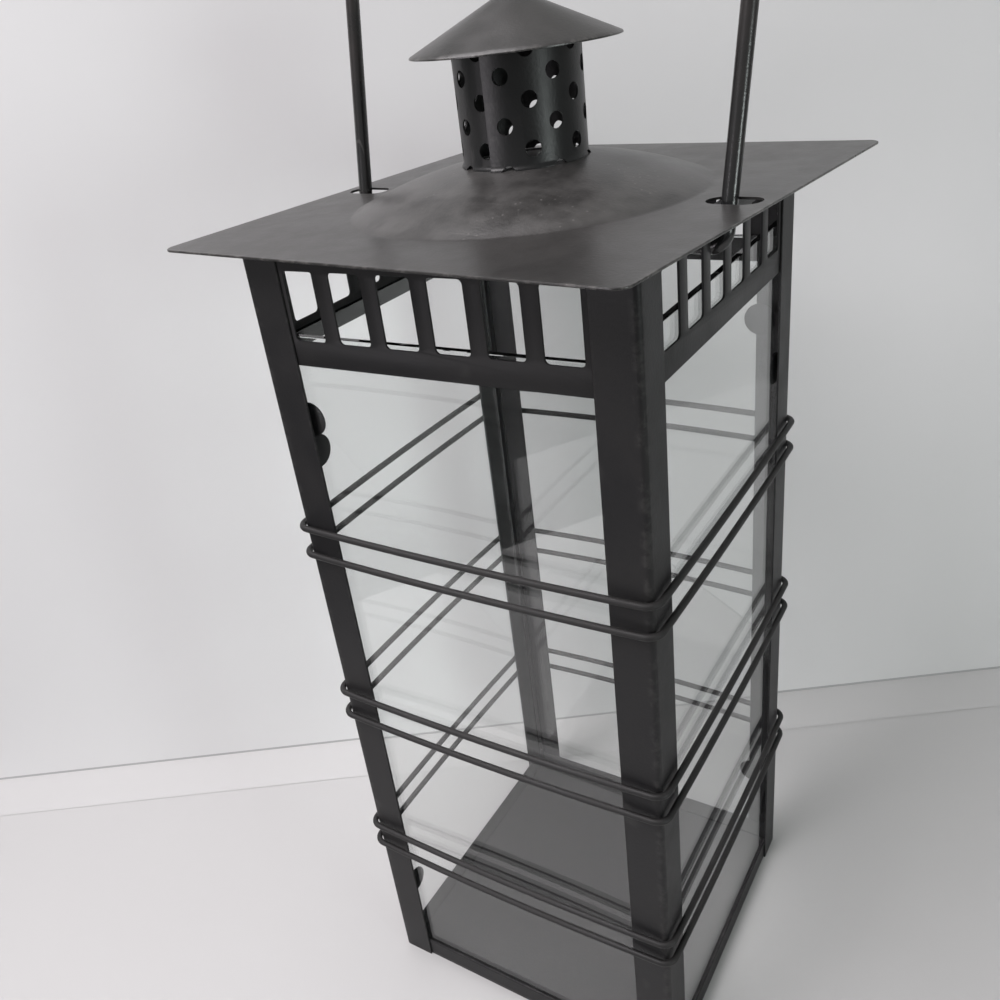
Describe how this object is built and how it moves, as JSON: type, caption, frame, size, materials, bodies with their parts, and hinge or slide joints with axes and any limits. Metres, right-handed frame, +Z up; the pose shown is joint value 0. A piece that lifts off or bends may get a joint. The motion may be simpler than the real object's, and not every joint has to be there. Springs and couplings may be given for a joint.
{
  "type": "candle lantern",
  "caption": "Square black metal candle lantern with glass sides, wire bands, a slotted vent band, a lift-up domed roof with a perforated chimney and cap, and a rod bail.",
  "frame": {"origin": "centre of the underside of the base tray, on the floor", "axes": "+Z up along the lantern's height, -Y out of the front pane, +X out of the right pane"},
  "size_m": [0.2444, 0.2444, 0.6048],
  "materials": {
    "satin_black_paint": "satin black paint on folded sheet, lightly scuffed",
    "black_rod": "satin black paint on round rod and wire",
    "clear_glass": "clear, polished"
  },
  "bodies": {
    "body": {"base_tray": "satin_black_paint", "front_left_post": "satin_black_paint", "front_right_post": "satin_black_paint", "rear_right_post": "satin_black_paint", "rear_left_post": "satin_black_paint", "front_vent_frieze": "satin_black_paint", "front_glass_pane": "clear_glass", "front_glass_clips": "satin_black_paint", "right_vent_frieze": "satin_black_paint", "right_glass_pane": "clear_glass", "right_glass_clips": "satin_black_paint", "rear_vent_frieze": "satin_black_paint", "rear_glass_pane": "clear_glass", "rear_glass_clips": "satin_black_paint", "left_vent_frieze": "satin_black_paint", "left_glass_pane": "clear_glass", "left_glass_clips": "satin_black_paint", "bottom_lower_band": "black_rod", "bottom_upper_band": "black_rod", "middle_lower_band": "black_rod", "middle_upper_band": "black_rod", "top_lower_band": "black_rod", "top_upper_band": "black_rod"},
    "roof": {"roof_plate": "satin_black_paint", "chimney_tube": "satin_black_paint", "chimney_cap": "satin_black_paint"},
    "bail": {"bail_handle": "black_rod"}
  },
  "joints": [
    {"name": "roof_lift", "type": "slide", "parent": "body", "child": "roof", "axis": [-0.0045, 0.1755, 0.9845], "range_m": [0, 0.07]},
    {"name": "bail_rock", "type": "hinge", "parent": "body", "child": "bail", "pos_m": [0, -0.0031, 0.4232], "axis": [0.9923, -0.1236, 0], "range_deg": [0, 3.2]}
  ]
}
